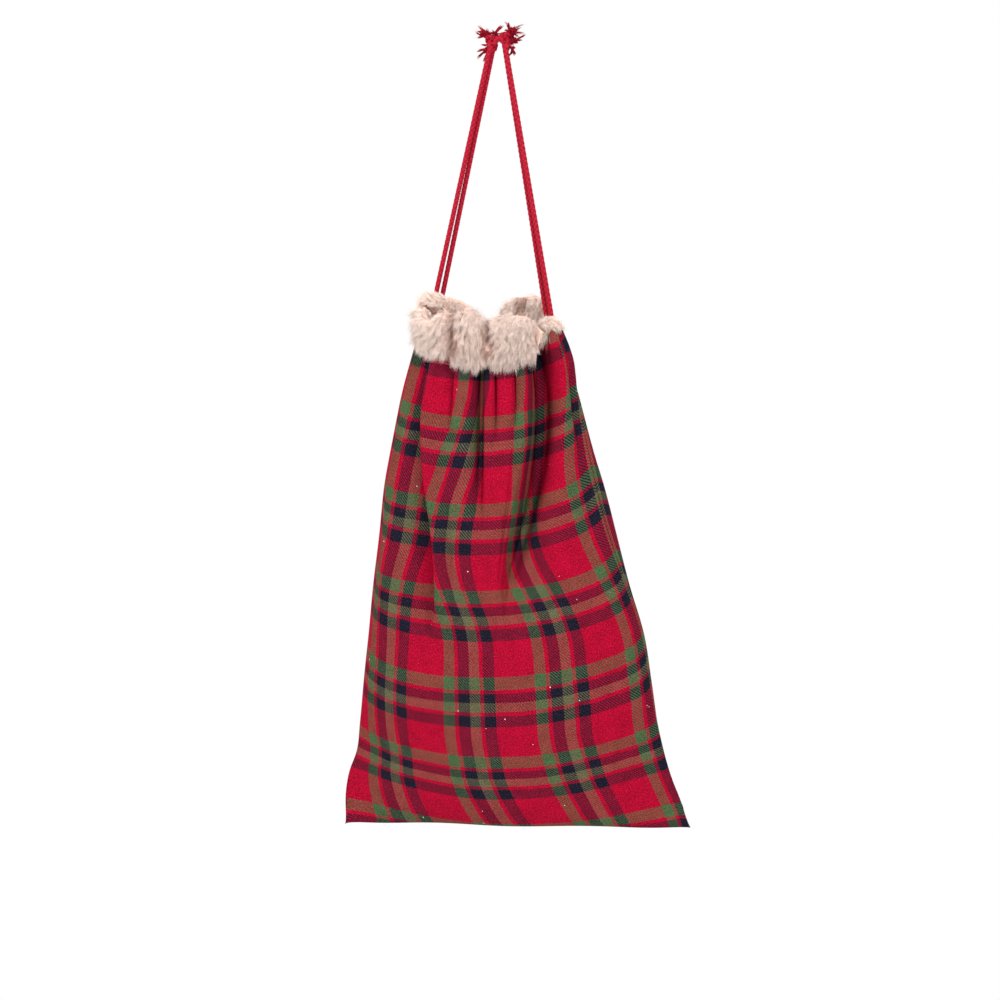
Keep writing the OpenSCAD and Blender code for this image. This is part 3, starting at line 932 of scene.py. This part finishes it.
def make_collar(side, word, body, density=1.0):
    """One half of the collar: its backing, its outer pile in three stretches and its inner pile. In front the
    outer pile ends where the cloth's shoulder covers the collar."""
    collar_backing(f"{word}_collar_backing", side, f"{word}_fur_collar")
    folds = FRONT_FOLDS if side == FRONT else BACK_FOLDS
    deepest = max(depth for _, depth in folds)

    def valley(turn, root):
        """1 on the line of the deepest fold, less on the others, and 0 on the lobes and the lower edge. Where
        it is high, fibres are shorter and darker with painted shade.
        """
        lines = [(depth / deepest) ** 0.4 * np.exp(-(((turn - place) / VALLEY_WIDTH) ** 2))
                 for place, depth in folds]
        return np.max(lines, axis=0) * step(root[:, 2] - neck_line(turn, side), VALLEY_FROM, VALLEY_FULL)

    def comb(turn):
        """The pile is brushed down, to the left on the left lobe and a little to the left elsewhere."""
        left = -0.55 * (1 - step(turn, 40, 75)) - 0.3 * step(turn, 95, 110)
        return np.stack([left, 0 * turn, -1.0 + 0 * turn], -1)

    outside, inside = (-1.4, 1.5), (1.2, 4.2)
    right_end, right_count = (144, 6500) if side == FRONT else (179, 10500)
    spans = [("left_outer", (1, 70), outside, 10500), ("middle_outer", (60, 122), outside, 10500),
             ("right_outer", (112, right_end), outside, right_count), ("inner", (2, 178), inside, 9500)]
    for part, turns, arounds, count in spans:
        surface = {
            "turn": lambda n, t=turns: rng.uniform(*t, n),
            "around": lambda n, s=arounds: rng.uniform(*s, n),
            "at": lambda turn, around: collar_surface(turn, around, side),
            "valley": valley, "comb": comb}
        pile(f"{word}_fur_{part}", surface, int(count * density), body, side)


make_collar(FRONT, "front", "front_mouth")
make_collar(BACK, "back", "back_mouth", 0.7)


def cushion(backing, centre, size, rises, comb, dark=0.0):
    """A small cushion, an ellipsoid squared off a little: its closed backing and the surface of its pile."""
    def at(turn, around):
        """Points and ways out, by the angle round the cushion and the angle up from its middle."""
        a = np.radians(turn)
        x, y = signed_power(np.cos(a), 0.8), signed_power(np.sin(a), 0.8)
        way = np.stack([x * np.cos(around), y * np.cos(around), np.sin(around)], -1)
        return np.array(centre) + way * np.array(size), unit(way / np.array(size))

    ring, up = np.meshgrid(np.linspace(0, 360, 28, endpoint=False), np.linspace(-1.5, 1.5, 20))
    # A dark cushion's pile counts as lying in a fold's valley: shorter, and darker with painted shade
    surface = {"turn": lambda n: rng.uniform(0, 360, n), "around": lambda n: rng.uniform(*rises, n), "at": at,
               "valley": lambda turn, root: 0 * turn + 0.7 * dark,
               "comb": lambda turn: np.array(comb) + 0 * turn[:, None]}
    return capped_tube(backing, at(ring, up)[0]), surface


def fur_tab(hand, centre, size):
    """A fur tab in a side slit, under the place where the cords come out."""
    piece, surface = cushion(f"{hand}_tab_backing", centre, size, (-1.3, 1.5), (0, 0, -0.5))
    finish_piece(piece, BACKING, "fur", f"{hand}_fur_tab")
    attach(piece, "sack")
    pile(f"{hand}_fur_tuft", surface, 4600, "sack", length=(6.0, 9.0))


def fur_corner():
    """The collar's left end rolls over in front of the cords, above a dark hollow at the mouth's corner: a
    cushion of dark fur that paints the hollow's shade.
    """
    # The hollow's cushion is painted dark with shade (dark is 1.0)
    parts = [("rim", (-75, -12, -294.5), (14.5, 4, 6), (-0.9, 1.5), 0.0, 4200, (5.0, 8.0)),
             ("hollow", (-74, -8, -306), (11, 3, 5.5), (-1.5, 1.5), 1.0, 2000, (4.0, 6.5))]
    for word, centre, size, rises, dark, count, length in parts:
        piece, surface = cushion(f"left_{word}_backing", np.array(centre) * MM, np.array(size) * MM, rises,
                                 (-0.7, -0.1, 0.1), dark)
        fold_with(finish_piece(piece, SHADED_BACKING if dark else BACKING, "fur"))
        pile(f"left_{word}_fur", surface, count, "front_mouth", FRONT, length)


fur_corner()
TAB_BOXES = {hand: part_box(f"{hand}_fur_tab") for hand in ("left", "right")}
TAB_X = {hand: (low.x + high.x) / 2 for hand, (low, high) in TAB_BOXES.items()}
fur_tab("left", (TAB_X["left"], 0, -330 * MM), (8 * MM, 12 * MM, 11 * MM))
fur_tab("right", (TAB_X["right"] - MM, -4.5 * MM, -324 * MM), (10 * MM, 15 * MM, 6.5 * MM))


# ---------------------------------------------------------------- cords and stitches inside the collar

def along_collar(side, level, count=190):
    """A path inside a collar half at a height above the neck line, and the ways out from it. In front its
    right end moves inwards, behind the cloth's shoulder."""
    turn = np.linspace(1, 179, count)
    middle, out, _, _, fold = collar_parts(turn, side)
    inwards = fold * 0.35
    if side == FRONT:
        inwards = inwards + 7 * MM * step(turn, 138, 152)
    path = middle - out * inwards[:, None]
    path[:, 2] = neck_line(turn, side) + level
    return path, out


def stitch_row(name, side, node):
    """A row of lock stitches that closes the collar's lower edge: a thread that dips in and out."""
    path, out = along_collar(side, 2.5 * MM, count=700)
    dip = np.sin(np.linspace(0, 150 * np.pi, 700))
    path = path + out * (dip * 2.2 * MM)[:, None]
    side_way, other = tube_frames(path)
    angle = 2 * np.pi * np.arange(8) / 8
    rings = (path[:, None] + (side_way[:, None] * np.cos(angle)[:, None]
                              + other[:, None] * np.sin(angle)[:, None]) * 0.35 * MM)
    piece = capped_tube(name, rings)
    finish_piece(piece, THREAD, "thread", node)
    return fold_with(piece)


THREAD = stitching()
# How high above the neck line each cord runs in the collar, and half the way across a slit
LEVELS = {"left": 14 * MM, "right": 7.5 * MM}
TURN_REACH = 6.8 * MM
for word, side in (("front", FRONT), ("back", BACK)):
    stitch_row(f"{word}_neck_stitches", side, f"{word}_neck_stitching")
    for hand, level in LEVELS.items():
        run = cord_piece(f"{hand}_cord_in_{word}_tunnel", along_collar(side, level)[0])
        finish_piece(run, YARN, "cord", f"{hand}_cord_{word}_run")
        fold_with(run)
# Each cord turns across at the slit on the far side from its strands
for hand, far, neck in (("left", "right", NECK_Z + NECK_RISE), ("right", "left", NECK_Z)):
    x, z = TAB_X[far], neck + LEVELS[hand]
    turn = cord_piece(f"{hand}_cord_turn_across", straight((x, -TURN_REACH, z), (x, TURN_REACH, z)))
    finish_piece(turn, YARN, "cord", f"{hand}_cord_turn")
    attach(turn, "sack")


# ---------------------------------------------------------------- studio

def studio():
    """A pale floor well under the sack, a white room that gives a little less light than it shows, and soft
    lamps that face the sack's middle."""
    reach, low = 0.9, -1.6
    corners = [(-reach, -reach, low), (reach, -reach, low), (reach, reach, low), (-reach, reach, low)]
    floor = mesh_object("studio_floor", corners, [[0, 1, 2, 3]])
    f = Finish("pale_floor")
    floor.data.materials.append(f.done(Base_Color=(0.9, 0.9, 0.9, 1), Roughness=0.9))
    world = bpy.data.worlds.new("white_room")
    world.use_nodes = True
    tree = world.node_tree
    seen = tree.nodes.new("ShaderNodeLightPath").outputs["Is Camera Ray"]
    strength = tree.nodes.new("ShaderNodeMapRange")
    strength.inputs["To Min"].default_value = 0.94
    strength.inputs["To Max"].default_value = 1.0
    tree.links.new(seen, strength.inputs["Value"])
    tree.links.new(strength.outputs[0], tree.nodes["Background"].inputs[1])
    tree.nodes["Background"].inputs[0].default_value = (1, 1, 1, 1)
    bpy.context.scene.world = world
    lamps = [("left_lamp", (-2.1, -2.0, 0.5), 1.2, 62), ("right_lamp", (2.2, -1.8, 0.1), 1.2, 48),
             ("top_lamp", (0.2, -1.2, 1.6), 1.0, 20)]
    for name, place, size, power in lamps:
        data = bpy.data.lights.new(name, "AREA")
        data.size, data.energy = size, power
        lamp = bpy.data.objects.new(name, data)
        lamp.location = place
        way = np.array([0, 0, -0.55]) - np.array(place)
        tilt = math.atan2(math.hypot(way[0], way[1]), -way[2])
        lamp.rotation_euler = (tilt, 0, math.atan2(way[1], way[0]) - math.pi / 2)
        bpy.context.scene.collection.objects.link(lamp)
    bpy.context.scene.view_settings.view_transform = "Standard"


studio()
